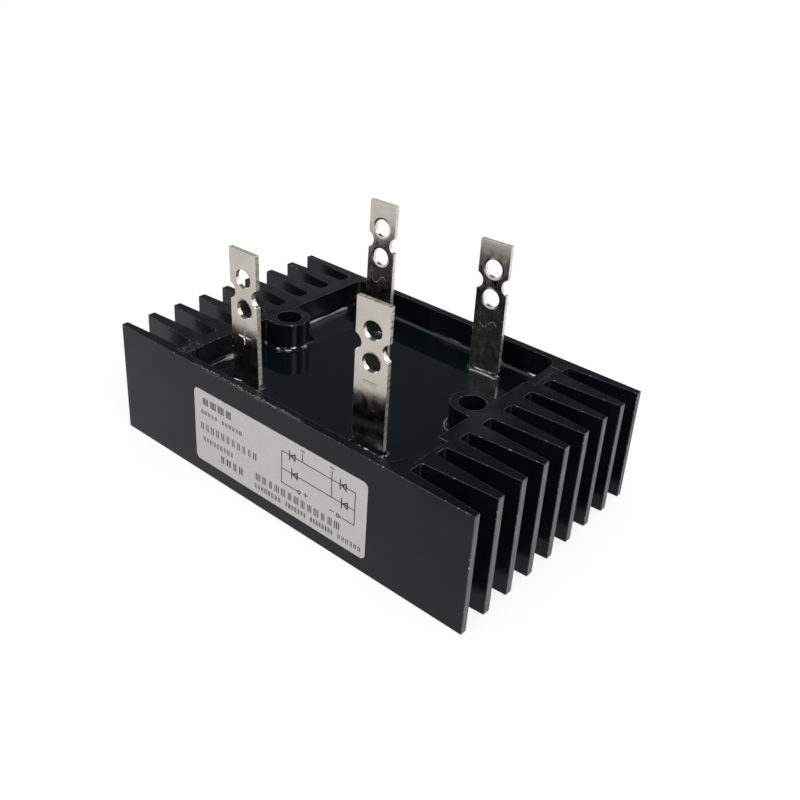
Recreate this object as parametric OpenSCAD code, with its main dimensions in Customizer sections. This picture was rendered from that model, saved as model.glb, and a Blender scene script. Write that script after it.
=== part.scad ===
// Potted single-phase bridge rectifier in a finned aluminium housing, in millimetres.
// X runs along the housing, +Y points to its rear and +Z points up.
// The origin is the centre of the underside, and the unit stands on that face.

/* [Well] */
// Inside length of the open well
well_length = 70.6; // [62:0.2:90]
// Inside width of the open well
well_width = 67.4; // [62:0.2:80]
// Radius of the four upright corners of the well
well_corner_r = 3.2; // [1:0.1:6]
// Thickness of the floor below the well
floor_t = 6; // [4:0.5:9]

/* [Housing] */
// Height of the housing from its underside to the rim
housing_height = 32.4; // [28:0.2:44]
// Thickness of the front wall and of the rear wall beside the well
side_wall = 2.3; // [1.8:0.1:5]
// Thickness of each end wall, from the well to the bottom of a slot
end_wall = 4.05; // [3:0.05:8]

/* [Fins] */
// Number of fins at each end between the front wall and the rear wall
fin_count = 7; // [4:1:9]
// Length of a fin from the bottom of its slot to its tip
fin_length = 19.9; // [12:0.1:30]
// Thickness of a fin at its tip
fin_tip = 2.2; // [1.4:0.1:3]
// Thickness of a fin where it meets the end wall
fin_root = 4.9; // [3:0.1:5.5]
// Thickness of the front and rear walls at their ends
outer_fin_tip = 1.9; // [1.4:0.1:3]
// Radius in the two corners at the bottom of each slot
slot_corner_r = 0.8; // [0.3:0.1:1.2]

/* [Mounting holes] */
// Diameter of the two holes that go down through the housing
mount_hole_d = 7; // [5:0.1:8]
// Distance of each hole's centre from the end of the well
mount_hole_setback = 3.3; // [2:0.1:5]
// Radius of the rounded boss round each hole
boss_r = 5.7; // [5.2:0.1:7]

/* [Rim relief] */
// Depth of the two shallow reliefs in the rim at the right end
relief_depth = 0.25; // [0.1:0.05:0.6]
// Width of each relief, measured from the well
relief_width = 3.2; // [1:0.1:3.6]
// Length of each relief along the end wall
relief_length = 12.5; // [6:0.5:16]
// Distance of each relief from the side of the well
relief_setback = 3.4; // [1:0.1:6]

/* [Potting] */
// Depth of the resin's surface below the rim
resin_drop = 7.9; // [3:0.1:12]

/* [Insulating tiles and copper plates] */
// Thickness of the ceramic tiles on the floor of the well
tile_t = 1; // [0.6:0.1:2]
// Clearance between a tile and the walls of the well, and between a tile and the bosses
tile_clearance = 1.5; // [0.5:0.1:3]
// Thickness of the copper plates
plate_t = 2; // [1:0.1:3]
// Width of bare tile left round a copper plate
plate_inset = 1; // [0.5:0.1:2]
// Gap between neighbouring copper plates
plate_gap = 2; // [1:0.1:3]
// Width of the front strip of the right AC plate, which runs in front of the left AC plate
ac_strip_width = 9; // [7:0.1:10]
// Distance from the middle of the well to the body of each AC plate
ac_body_x = 12; // [11:0.1:13]

/* [Diode dice] */
// Side length of a square die
die_w = 8.5; // [6:0.1:9.5]
// Thickness of a die with its solder
die_t = 0.8; // [0.4:0.1:1.5]
// Distance from an inner die to the edge of its plate
die_edge = 0.75; // [0.5:0.05:1.5]
// Distance between the two dice on one plate
die_pitch = 14; // [12:0.1:15]
// Distance from the row of dice to the middle of the well
die_row_y = 13; // [12.6:0.1:13.6]

/* [Jumper strips] */
// Width of a copper jumper strip
jumper_w = 5; // [3:0.1:6]
// Thickness of a jumper strip
jumper_t = 1; // [0.5:0.1:1.5]
// Length of the flat pad at each end of a jumper strip
pad_length = 5; // [4:0.1:6]
// Height of a jumper strip's arch above the dice
arch_height = 3.5; // [2:0.1:5]

/* [Terminals] */
// Width of a terminal strip
blade_w = 9.2; // [7:0.1:10]
// Thickness of a terminal strip
blade_t = 1.3; // [0.8:0.1:1.8]
// Height of a terminal strip's top above the rim
blade_rise = 31.3; // [24:0.1:40]
// Diameter of the two holes in each terminal strip
blade_hole_d = 5.1; // [3:0.1:5.5]
// Distance of the upper hole's centre from the top of the strip
blade_hole_drop = 7.5; // [5:0.1:9]
// Distance between the centres of the two holes
blade_hole_pitch = 8.5; // [6.5:0.1:10]
// Depth of the notch in each edge, halfway between the holes
notch_depth = 1.7; // [0.5:0.1:2]
// Radius of that notch
notch_r = 2.4; // [2:0.1:3]
// Width of the soldered foot below the resin
foot_w = 8; // [5:0.1:9]
// Length of the soldered foot, measured from the middle of the strip
foot_length = 4.5; // [3:0.1:6]

/* [Plus terminal, front left] */
// Distance from the end of the well
plus_end = 12.9; // [10:0.1:16]
// Distance from the front of the well
plus_side = 9.7; // [8:0.1:11]
// How far the strip stands above or below the common height
plus_lift = -1.4; // [-2:0.1:2]
// Lean to the rear, in degrees
plus_back = -1.5; // [-4:0.1:4]
// Lean to the right, in degrees
plus_lean = 0; // [-3:0.1:3]
// Turn about the upright, in degrees
plus_turn = 1.7; // [-7:0.1:7]

/* [Minus terminal, front right] */
// Distance from the end of the well
minus_end = 15.4; // [10:0.1:18]
// Distance from the front of the well
minus_side = 9.5; // [8:0.1:11]
// How far the strip stands above or below the common height
minus_lift = 1.5; // [-2:0.1:2]
// Lean to the rear, in degrees
minus_back = -3.7; // [-4:0.1:4]
// Lean to the right, in degrees
minus_lean = 2.3; // [-3:0.1:3]
// Turn about the upright, in degrees
minus_turn = 6.3; // [-7:0.1:7]

/* [Left AC terminal, rear left] */
// Distance from the end of the well
ac_left_end = 16.3; // [12:0.1:17]
// Distance from the rear of the well
ac_left_side = 10.6; // [6:0.1:11]
// How far the strip stands above or below the common height
ac_left_lift = 0.5; // [-2:0.1:2]
// Lean to the rear, in degrees
ac_left_back = 1; // [-4:0.1:4]
// Lean to the right, in degrees
ac_left_lean = -0.4; // [-3:0.1:3]
// Turn about the upright, in degrees
ac_left_turn = 1.6; // [-7:0.1:7]

/* [Right AC terminal, rear right] */
// Distance from the end of the well
ac_right_end = 18.2; // [12:0.1:18.6]
// Distance from the rear of the well
ac_right_side = 6.9; // [6:0.1:10]
// How far the strip stands above or below the common height
ac_right_lift = -0.6; // [-2:0.1:2]
// Lean to the rear, in degrees
ac_right_back = -1; // [-4:0.1:4]
// Lean to the right, in degrees
ac_right_lean = 0; // [-3:0.1:3]
// Turn about the upright, in degrees
ac_right_turn = 4; // [-7:0.1:7]

/* [Label] */
// Width of the paper label on the front wall
label_w = 60; // [30:0.5:80]
// Height of the label
label_h = 21.8; // [12:0.2:26]
// Thickness of the label
label_t = 0.15; // [0.1:0.05:0.4]
// Radius of the label's corners
label_r = 1.5; // [0.5:0.1:4]
// Distance of the label's centre from the middle of the wall, to the right
label_x = 0.5; // [-8:0.5:8]
// Distance of the label's lower edge from the underside
label_rise = 4; // [2:0.2:6]

/* [Hidden] */
$fn = 64;

// A cut runs this far past the face that it leaves through
past = 1;

// Housing outline
slot_root_x = well_length / 2 + end_wall;
housing_length = 2 * (slot_root_x + fin_length);
housing_width = well_width + 2 * side_wall;
slot_count = fin_count + 1;
slot_mouth = (housing_width - 2 * outer_fin_tip - fin_count * fin_tip) / slot_count;
slot_pitch = slot_mouth + fin_tip;
slot_bottom = slot_pitch - fin_root;
mount_hole_x = well_length / 2 - mount_hole_setback;

// Levels
resin_z = housing_height - resin_drop;
tile_z = floor_t;
plate_z = tile_z + tile_t;
die_z = plate_z + plate_t;
pad_z = die_z + die_t;

// Plan of the tiles and plates, for the right half of the well
tile_x = well_length / 2 - tile_clearance;
tile_y = well_width / 2 - tile_clearance;
tile_inner_y = boss_r + tile_clearance;
plate_x = tile_x - plate_inset;
plate_y = tile_y - plate_inset;
plate_inner_y = tile_inner_y + plate_inset;
ac_split_y = plate_inner_y + ac_strip_width;

// Plan of the dice and jumpers
inner_die_x = plate_gap / 2 + die_edge + die_w / 2;
outer_die_x = inner_die_x + die_pitch;
strip_end_x = ac_body_x - plate_gap;

// Places of the terminal strips at the surface of the resin
plus_at = [plus_end - well_length / 2, plus_side - well_width / 2];
minus_at = [well_length / 2 - minus_end, minus_side - well_width / 2];
ac_left_at = [ac_left_end - well_length / 2, well_width / 2 - ac_left_side];
ac_right_at = [well_length / 2 - ac_right_end, well_width / 2 - ac_right_side];

// Front edge of the foot of a terminal that leans to the rear
function foot_front_y(at, back) = at[1] - (resin_z - die_z) * tan(back) - foot_length;

// Middle of each jumper's far pad: halfway from its plate's front edge to the terminal's foot,
// on the middle of the front strip, or on the middle of the long arm behind that strip
left_pad_y = (plate_inner_y + foot_front_y(ac_left_at, ac_left_back)) / 2;
right_pad_y = (plate_inner_y + foot_front_y(ac_right_at, ac_right_back)) / 2;
strip_pad_y = (plate_inner_y + ac_split_y) / 2;
arm_pad_y = (ac_split_y + plate_gap + plate_y) / 2;

// A corner's circle reaches this far past the slot's side, so that the two always cross
slot_cross = 0.002;

// A slot's half width at a distance from its bottom, and the slope of its sides
slot_slope = atan((slot_mouth - slot_bottom) / 2 / fin_length);
function slot_half(run) = slot_bottom / 2 + run * tan(slot_slope);
slot_round_y = slot_half(slot_corner_r) - slot_corner_r / cos(slot_slope) + slot_cross;
slot_touch_x = slot_corner_r * (1 - sin(slot_slope));
slot_touch_y = slot_half(slot_touch_x);
slot_run = fin_length + past;

// Plan of one slot between two fins, from its bottom at x = 0 out past the fin tips
module slot_plan() {
    polygon([
        [0, -slot_round_y], [slot_touch_x, -slot_touch_y], [slot_run, -slot_half(slot_run)],
        [slot_run, slot_half(slot_run)], [slot_touch_x, slot_touch_y], [0, slot_round_y]
    ]);
    for (side = [-1, 1])
        translate([slot_corner_r, side * slot_round_y])
            circle(r = slot_corner_r);
}

// Plan of all the slots at the right end
module slots_plan() {
    for (i = [0 : slot_count - 1])
        translate([slot_root_x, (i - (slot_count - 1) / 2) * slot_pitch])
            slot_plan();
}

module rounded_rectangle(w, h, r) {
    square([w - 2 * r, h], center = true);
    square([w, h - 2 * r], center = true);
    for (x = [-1, 1], y = [-1, 1])
        translate([x * (w / 2 - r), y * (h / 2 - r)])
            circle(r = r);
}

// Plan of the boss at the right end, running into the end wall
module boss_plan() {
    translate([mount_hole_x, 0])
        circle(r = boss_r);
    translate([mount_hole_x, -boss_r])
        square([mount_hole_setback + end_wall / 2, 2 * boss_r]);
}

// Plan of the open well with both bosses left standing
module well_plan() {
    difference() {
        rounded_rectangle(well_length, well_width, well_corner_r);
        boss_plan();
        mirror([1, 0]) boss_plan();
    }
}

module rim_relief() {
    for (side = [-1, 1])
        translate([
            well_length / 2 - past,
            side * (well_width / 2 - relief_setback - relief_length / 2) - relief_length / 2,
            housing_height - relief_depth
        ])
            cube([relief_width + past, relief_length, relief_depth + past]);
}

// One aluminium piece: floor, walls, tapered fins, open well and two drilled bosses
module housing() {
    color([0.08, 0.08, 0.09])
    difference() {
        linear_extrude(housing_height)
            difference() {
                square([housing_length, housing_width], center = true);
                slots_plan();
                mirror([1, 0]) slots_plan();
            }
        translate([0, 0, floor_t])
            linear_extrude(housing_height)
                well_plan();
        for (side = [-1, 1])
            translate([side * mount_hole_x, 0, -past])
                cylinder(d = mount_hole_d, h = housing_height + 2 * past);
        rim_relief();
    }
}

// A flat slab between two corners in plan
module slab(low, high, z, t) {
    translate([low[0], low[1], z])
        cube([high[0] - low[0], high[1] - low[1], t]);
}

module ceramic_tile(side) {
    color([0.93, 0.93, 0.9])
    if (side < 0) slab([-tile_x, -tile_y], [tile_x, -tile_inner_y], tile_z, tile_t);
    else slab([-tile_x, tile_inner_y], [tile_x, tile_y], tile_z, tile_t);
}

module copper() {
    color([0.8, 0.45, 0.28]) children();
}

module plus_plate() {
    copper() slab([-plate_x, -plate_y], [-plate_gap / 2, -plate_inner_y], plate_z, plate_t);
}

module minus_plate() {
    copper() slab([plate_gap / 2, -plate_y], [plate_x, -plate_inner_y], plate_z, plate_t);
}

// The left AC plate is an L: its long arm runs behind the right plate's strip
module ac_left_plate() {
    copper() union() {
        slab([-plate_x, plate_inner_y], [-ac_body_x, plate_y], plate_z, plate_t);
        slab([-plate_x, ac_split_y + plate_gap], [strip_end_x, plate_y], plate_z, plate_t);
    }
}

// The right AC plate is an L the other way round
module ac_right_plate() {
    copper() union() {
        slab([ac_body_x, plate_inner_y], [plate_x, plate_y], plate_z, plate_t);
        slab([-strip_end_x, plate_inner_y], [plate_x, ac_split_y], plate_z, plate_t);
    }
}

module die(x) {
    color([0.35, 0.36, 0.4])
    slab([x - die_w / 2, -die_row_y - die_w / 2], [x + die_w / 2, -die_row_y + die_w / 2], die_z, die_t);
}

// A jumper strip in side view: near pad on a die, slanting legs, arch, far pad on a plate
module jumper_side(far_y) {
    near_y = -die_row_y;
    top = pad_z + arch_height;
    leg = arch_height;
    near_toe = near_y + pad_length / 2;
    far_toe = far_y - pad_length / 2;
    drop = die_t;
    polygon([
        [near_y - pad_length / 2, pad_z], [near_toe, pad_z], [near_toe + leg, top],
        [far_toe - leg - drop, top], [far_toe, die_z], [far_y + pad_length / 2, die_z],
        [far_y + pad_length / 2, die_z + jumper_t], [far_toe, die_z + jumper_t],
        [far_toe - leg - drop, top + jumper_t], [near_toe + leg, top + jumper_t],
        [near_toe, pad_z + jumper_t], [near_y - pad_length / 2, pad_z + jumper_t]
    ]);
}

module jumper(x, far_y) {
    copper()
    translate([x - jumper_w / 2, 0, 0])
        rotate([90, 0, 90])
            linear_extrude(jumper_w)
                jumper_side(far_y);
}

// A terminal strip in front view, with x = 0 on its centre line and y as height
module blade_front(top, bottom) {
    notch_y = top - blade_hole_drop - blade_hole_pitch / 2;
    notch_x = blade_w / 2 - notch_depth + notch_r;
    difference() {
        translate([-blade_w / 2, bottom])
            square([blade_w, top - bottom]);
        for (i = [0, 1])
            translate([0, top - blade_hole_drop - i * blade_hole_pitch])
                circle(d = blade_hole_d);
        for (side = [-1, 1])
            translate([side * notch_x, notch_y])
                circle(r = notch_r);
    }
}

// A terminal leans and turns about the point where it leaves the resin.
// Its foot stays flat on the plate and points to the front of the housing.
module terminal(at, lift, back, lean, turn) {
    depth = resin_z - die_z;
    top = housing_height + blade_rise + lift - resin_z;
    foot_x = -depth * tan(lean);
    foot_y = -depth * tan(back) / cos(lean);
    color([0.8, 0.78, 0.73])
    translate([at[0], at[1], 0])
        rotate([0, 0, turn]) {
            difference() {
                translate([0, 0, resin_z])
                    rotate([-back, lean, 0])
                        rotate([90, 0, 0])
                            translate([0, 0, -blade_t / 2])
                                linear_extrude(blade_t)
                                    blade_front(top, -depth - past);
                translate([-blade_w, -blade_w, die_z - 2 * past])
                    cube([2 * blade_w, 2 * blade_w, 2 * past]);
            }
            translate([foot_x - foot_w / 2, foot_y - foot_length, die_z])
                cube([foot_w, foot_length, blade_t]);
        }
}

module terminal_plus() {
    terminal(plus_at, plus_lift, plus_back, plus_lean, plus_turn);
}

module terminal_minus() {
    terminal(minus_at, minus_lift, minus_back, minus_lean, minus_turn);
}

module terminal_ac_left() {
    terminal(ac_left_at, ac_left_lift, ac_left_back, ac_left_lean, ac_left_turn);
}

module terminal_ac_right() {
    terminal(ac_right_at, ac_right_lift, ac_right_back, ac_right_lean, ac_right_turn);
}

// Everything that the resin is cast round
module buried() {
    for (side = [-1, 1]) ceramic_tile(side);
    plus_plate();
    minus_plate();
    ac_left_plate();
    ac_right_plate();
    for (x = [-outer_die_x, -inner_die_x, inner_die_x, outer_die_x]) die(x);
    jumper(-outer_die_x, left_pad_y);
    jumper(-inner_die_x, strip_pad_y);
    jumper(inner_die_x, arm_pad_y);
    jumper(outer_die_x, right_pad_y);
    terminal_plus();
    terminal_minus();
    terminal_ac_left();
    terminal_ac_right();
}

module potting_resin() {
    color([0.07, 0.09, 0.1])
    difference() {
        translate([0, 0, floor_t])
            linear_extrude(resin_z - floor_t)
                well_plan();
        buried();
    }
}

module label() {
    color([0.75, 0.74, 0.73])
    translate([label_x, -housing_width / 2, label_rise + label_h / 2])
        rotate([90, 0, 0])
            linear_extrude(label_t)
                rounded_rectangle(label_w, label_h, label_r);
}

housing();
ceramic_tile(-1);  // front_ceramic_tile
ceramic_tile(1);  // rear_ceramic_tile
plus_plate();
minus_plate();
ac_left_plate();
ac_right_plate();
die(-outer_die_x);  // die_plus_left
die(-inner_die_x);  // die_plus_right
die(inner_die_x);  // die_minus_left
die(outer_die_x);  // die_minus_right
jumper(-outer_die_x, left_pad_y);  // jumper_plus_left
jumper(-inner_die_x, strip_pad_y);  // jumper_plus_right
jumper(inner_die_x, arm_pad_y);  // jumper_minus_left
jumper(outer_die_x, right_pad_y);  // jumper_minus_right
terminal_plus();
terminal_minus();
terminal_ac_left();
terminal_ac_right();
potting_resin();
label();
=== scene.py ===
# %% [markdown]
# # A potted bridge rectifier in a finned housing
# The real object turns alternating current into direct current. Four diodes sit on copper plates
# in a black aluminium trough with fins at both ends. Black resin fills the trough, and four plated
# strips stand out of it. This lesson dresses each of these pieces: it gives them rounded edges,
# wear, a resin that creeps up the walls, and finishes that behave like the real ones.

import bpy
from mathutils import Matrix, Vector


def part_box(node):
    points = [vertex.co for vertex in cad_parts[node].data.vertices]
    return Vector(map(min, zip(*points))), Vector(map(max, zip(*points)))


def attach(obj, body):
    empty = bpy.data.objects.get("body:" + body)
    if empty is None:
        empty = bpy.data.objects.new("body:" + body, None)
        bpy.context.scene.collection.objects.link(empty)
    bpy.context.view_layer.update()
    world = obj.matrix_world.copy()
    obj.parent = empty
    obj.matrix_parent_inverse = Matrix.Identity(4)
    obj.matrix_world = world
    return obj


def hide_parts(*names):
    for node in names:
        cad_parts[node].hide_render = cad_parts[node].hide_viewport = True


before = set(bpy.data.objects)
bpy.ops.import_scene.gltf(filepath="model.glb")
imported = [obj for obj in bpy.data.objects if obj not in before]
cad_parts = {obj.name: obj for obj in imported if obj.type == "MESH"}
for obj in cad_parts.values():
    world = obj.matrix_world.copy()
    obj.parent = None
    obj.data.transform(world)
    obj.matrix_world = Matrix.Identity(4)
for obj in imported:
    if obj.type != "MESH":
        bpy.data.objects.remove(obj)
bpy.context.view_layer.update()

# %% Common tools
import math

import bmesh
import bpy
import numpy as np
from mathutils import Euler, Matrix, Vector, geometry, noise

MM = 0.001
scene = bpy.context.scene
print("Blender", bpy.app.version_string)

# %% [markdown]
# ## Camera
# The camera stands in front, to the right and above, as in the photograph. Its place was worked
# out from straight edges of the housing whose real lengths are known. A small lens shift keeps
# the upright edges where the photograph has them, which is how a product picture is cropped.

# %% Make the camera
camera = bpy.data.objects.new("camera", bpy.data.cameras.new("camera"))
camera.location = (0.143634, -0.170817, 0.154713)
camera.rotation_euler = Euler([math.radians(a) for a in (62.092948, -3.814675, 39.612783)])
camera.data.sensor_width = 36.0
camera.data.lens = 43.564
camera.data.shift_x = -0.0155
camera.data.shift_y = -0.0699
camera.data.clip_start = 0.01
camera.data.clip_end = 20.0
scene.collection.objects.link(camera)
scene.camera = camera
print("camera: lens", camera.data.lens, "mm")

# %% [markdown]
# ## Writing node trees
# A node tree can be clicked together or written down. Written down it can be read, and a size
# is one named value. Each method below adds one node and gives back its output, so that a line
# of code reads like a sum.

# %% Node tree helpers
class Wiring:
    """Writes a node tree line by line."""

    def __init__(self, tree):
        self.tree = tree

    def add(self, kind, inputs=None, output=0, **settings):
        """Adds one node, sets it up, connects or fills its inputs, and gives back an output."""
        node = self.tree.nodes.new(kind)
        for key, value in settings.items():
            setattr(node, key, value)
        for key, value in (inputs or {}).items():
            if isinstance(key, int):
                socket = node.inputs[key]
            else:
                socket = next(s for s in node.inputs if s.name == key and s.enabled)
            for item in value if isinstance(value, list) else [value]:
                if isinstance(item, bpy.types.NodeSocket):
                    self.tree.links.new(item, socket)
                else:
                    socket.default_value = item
        return [s for s in node.outputs if s.enabled][output]

    def calc(self, operation, a, b=0.0):
        return self.add("ShaderNodeMath", {0: a, 1: b}, operation=operation)

    def plus(self, a, b):
        return self.calc("ADD", a, b)

    def minus(self, a, b):
        return self.calc("SUBTRACT", a, b)

    def times(self, a, b):
        return self.calc("MULTIPLY", a, b)

    def vec(self, x=0.0, y=0.0, z=0.0):
        return self.add("ShaderNodeCombineXYZ", {0: x, 1: y, 2: z})


# %% Shape helpers
class Shape(Wiring):
    """A Geometry Nodes tree with named sizes as its inputs."""

    SOCKETS = {int: "NodeSocketInt", float: "NodeSocketFloat", tuple: "NodeSocketVector"}

    def __init__(self, name, sizes):
        super().__init__(bpy.data.node_groups.new(name, "GeometryNodeTree"))
        face = self.tree.interface
        face.new_socket("Geometry", in_out="OUTPUT", socket_type="NodeSocketGeometry")
        face.new_socket("Geometry", in_out="INPUT", socket_type="NodeSocketGeometry")
        for label, value in sizes.items():
            socket = face.new_socket(label, in_out="INPUT", socket_type=self.SOCKETS[type(value)])
            socket.default_value = value
        enter = self.tree.nodes.new("NodeGroupInput")
        self.size = {s.name: s for s in enter.outputs}
        print("tree:", name, "with", len(sizes), "sizes")

    def move(self, thing, by=(0, 0, 0), turn=(0, 0, 0)):
        return self.add("GeometryNodeTransform",
                        {"Geometry": thing, "Translation": by, "Rotation": turn})

    def shifted(self, points, by):
        """The points, each moved by its own vector."""
        return self.add("GeometryNodeSetPosition", {"Geometry": points, "Offset": by})

    def box(self, x, y, z):
        return self.add("GeometryNodeMeshCube", {"Size": self.vec(x, y, z)})

    def pebble(self, radius, rounds):
        """A ball of few faces."""
        return self.add("GeometryNodeMeshIcoSphere", {"Radius": radius, "Subdivisions": rounds})

    def disc(self, radius, corners):
        """A circle as an outline."""
        return self.add("GeometryNodeCurvePrimitiveCircle", {"Resolution": corners, "Radius": radius})

    def filleted(self, outline, radius, steps):
        """The outline with each corner made an arc."""
        return self.add("GeometryNodeFilletCurve",
                        {"Curve": outline, "Count": steps, "Radius": radius}, mode="POLY")

    def rounded(self, width, height, radius, steps):
        """A rectangle in plan, each corner an arc."""
        outline = self.add("GeometryNodeCurvePrimitiveQuadrilateral", {"Width": width, "Height": height})
        return self.filleted(outline, radius, steps)

    def straight(self, start, end):
        return self.add("GeometryNodeCurvePrimitiveLine", {"Start": start, "End": end})

    def swept(self, line, outline):
        """A closed solid that has this outline all along the line."""
        return self.add("GeometryNodeCurveToMesh",
                        {"Curve": line, "Profile Curve": outline, "Fill Caps": True})

    def upright(self, outline, low, high):
        """A solid with this plan between two heights."""
        return self.swept(self.straight(self.vec(z=low), self.vec(z=high)), outline)

    def row(self, count, start, step, mode="OFFSET"):
        """Points in a straight row. In the mode END_POINTS the step is the place of the last one."""
        return self.add("GeometryNodeMeshLine",
                        {"Count": count, "Start Location": start, "Offset": step}, mode=mode)

    def random(self, low, high, seed):
        """A random vector for each point, always the same for a seed."""
        return self.add("FunctionNodeRandomValue", {"Min": low, "Max": high, "Seed": seed},
                        data_type="FLOAT_VECTOR")

    def together(self, *things):
        return self.add("GeometryNodeJoinGeometry", {"Geometry": list(things)})

    def copies(self, points, thing, **more):
        """The thing once at each point, as real geometry."""
        placed = self.add("GeometryNodeInstanceOnPoints", {"Points": points, "Instance": thing, **more})
        return self.add("GeometryNodeRealizeInstances", {"Geometry": placed})

    def merged(self, thing):
        """The thing with points that lie in one place made one."""
        return self.add("GeometryNodeMergeByDistance", {"Geometry": thing, "Distance": 0.01 * MM})

    def cut(self, body, tools):
        return self.add("GeometryNodeMeshBoolean", {"Mesh 1": body, "Mesh 2": tools}, solver="EXACT")

    def end(self, thing, material):
        """Every tree ends in real geometry with a material."""
        thing = self.add("GeometryNodeRealizeInstances", {"Geometry": thing})
        thing = self.add("GeometryNodeSetMaterial", {"Geometry": thing, "Material": material})
        self.tree.links.new(thing, self.tree.nodes.new("NodeGroupOutput").inputs[0])
        return self


# %% Piece helpers
def shown(name, mesh):
    """A new object with this mesh, at the origin."""
    piece = bpy.data.objects.new(name, mesh)
    scene.collection.objects.link(piece)
    return piece


def settle(piece):
    """Keeps what the modifiers make as the piece's own plain mesh."""
    bpy.context.view_layer.update()
    graph = bpy.context.evaluated_depsgraph_get()
    mesh = bpy.data.meshes.new_from_object(piece.evaluated_get(graph))
    piece.modifiers.clear()
    piece.data = mesh
    return piece


def as_mesh(name, made, *materials):
    """Turns a bmesh into a mesh with these materials."""
    mesh = bpy.data.meshes.new(name)
    made.to_mesh(mesh)
    made.free()
    for material in materials:
        mesh.materials.append(material)
    return mesh


def grow(name, shape, sizes, source=None):
    """Runs a shape's tree once and keeps the result as a plain mesh."""
    piece = shown(name, source or bpy.data.meshes.new(name))
    modifier = piece.modifiers.new(name, "NODES")
    modifier.node_group = shape.tree
    for item in shape.tree.interface.items_tree:
        if item.in_out == "INPUT" and item.name in sizes:
            modifier[item.identifier] = sizes[item.name]
    return settle(piece)


def measured(piece):
    """Prints how many faces a piece has, its volume, and whether it is closed."""
    solid = bmesh.new()
    solid.from_mesh(piece.data)
    gaps = sum(1 for edge in solid.edges if not edge.is_manifold)
    volume = solid.calc_volume() / MM ** 3
    print(f"{piece.name}: {len(solid.faces)} faces, {volume:.1f} mm3, {gaps} open edges")
    solid.free()


def dressed(piece, slot, *nodes):
    """Fixes a finished piece to the part and hides the plain pieces that it stands for."""
    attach(piece, "root")
    if nodes:
        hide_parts(*nodes)
    measured(piece)
    return piece


# %% [markdown]
# ## Writing materials
# Every finish here is worked out from the place on the piece, in metres, so it has the same
# scale all over and needs no picture. Noise gives the variation that a real surface has.

# %% Material helpers
class Finish(Wiring):
    """A material with one shader, whose patterns follow the piece's own coordinates."""

    def __init__(self, name, color, roughness, **constants):
        self.material = bpy.data.materials.new(name)
        self.material.use_nodes = True
        super().__init__(self.material.node_tree)
        self.shader = self.tree.nodes["Principled BSDF"]
        self.shader.inputs["Base Color"].default_value = (*color, 1.0)
        self.shader.inputs["Roughness"].default_value = roughness
        for label, value in constants.items():
            self.shader.inputs[label.replace("_", " ")].default_value = value
        self.place = self.add("ShaderNodeTexCoord", output=3)
        print("finish:", name)

    def grain(self, per_metre, detail=3.0, stretch=(1.0, 1.0, 1.0), shift=0.0):
        """Noise from 0 to 1 with this many features in a metre."""
        place = self.add("ShaderNodeMapping",
                         {"Vector": self.place, "Scale": stretch, "Location": (shift, shift, shift)})
        return self.add("ShaderNodeTexNoise", {"Vector": place, "Scale": per_metre, "Detail": detail})

    def ranged(self, value, low, high, start=0.3, stop=0.7):
        """Takes a value between start and stop to one between low and high."""
        return self.add("ShaderNodeMapRange", {
            "Value": value, "From Min": start, "From Max": stop, "To Min": low, "To Max": high})

    def mixed(self, share, a, b):
        """A colour between two others."""
        ends = [(*c, 1.0) if isinstance(c, tuple) else c for c in (a, b)]
        return self.add("ShaderNodeMix", {"Factor": share, "A": ends[0], "B": ends[1]}, data_type="RGBA")

    def varied(self, pattern, a, b):
        """A colour that follows a pattern between two others."""
        return self.mixed(self.ranged(pattern, 0.0, 1.0), a, b)

    def set(self, **sockets):
        for label, value in sockets.items():
            self.tree.links.new(value, self.shader.inputs[label.replace("_", " ")])

    def tint(self, pattern, a, b):
        """Lets the base colour follow a pattern."""
        self.set(Base_Color=self.varied(pattern, a, b))

    def polish(self, pattern, smooth, rough):
        """Lets the roughness follow a pattern."""
        self.set(Roughness=self.ranged(pattern, smooth, rough))

    def bump(self, height, depth, strength):
        """Raises the surface by up to this depth, in metres."""
        self.set(Normal=self.add("ShaderNodeBump",
                                 {"Height": height, "Distance": depth, "Strength": strength}))


# %% [markdown]
# ## Black anodised aluminium
# The housing is a sawn length of a black anodised profile. The coating is glossy and nearly black.
# Faint lines run along the profile, which is upright here. The fins' end faces get a paler colour
# and a duller finish. A coat of paint would fill the corners, so it isn't modelled as a layer: the
# gloss and the fine lines do the work.

# %% Where the coating has flaked off, and a painted reflection on the front rim
housing_low, housing_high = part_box("housing")
length, width, height = housing_high - housing_low
front_y = -width / 2
fin_end = length / 2 - 0.06 * MM
flaked_edge_x = -10.0 * MM
# Where the bare-metal flakes lie along the front edge, and where a patch of them on the rim's top is a
# painted reflection of the plus strip
painted_reflection_x = -13.0 * MM
painted_reflection_share = 0.6


def flakes_and_painted_reflection(finish, least, most):
    """Where the coating has flaked off along the front rim, and a painted reflection on the rim's top, from
    0 to 1.
    """
    x, y, z = finish.add("ShaderNodeSeparateXYZ", {0: finish.place}).node.outputs

    def near(value, centre, full, none):
        """1 up to one distance from the centre, in millimetres, and 0 from the other on."""
        away = finish.calc("ABSOLUTE", finish.minus(value, centre))
        return finish.ranged(away, 1.0, 0.0, full * MM, none * MM)

    edge = finish.times(near(x, flaked_edge_x, 14.0, 20.0), near(y, front_y, 0.25, 0.8))
    # A patch of bare-metal flecks on the rim's top, where the rim mirrors the plus strip: a painted
    # reflection
    patch = finish.times(near(x, painted_reflection_x, 3.0, 8.0), near(y, front_y, 1.0, 2.4))
    place = finish.calc("MAXIMUM", edge, finish.times(patch, painted_reflection_share))
    place = finish.times(place, near(z, height, 0.3, 0.8))
    flecks = finish.ranged(finish.grain(4600.0, 2.0), 0.0, 1.0, least, most)
    return finish.times(flecks, place)


print("housing:", [round(side / MM, 1) for side in (length, width, height)], "mm")

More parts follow.
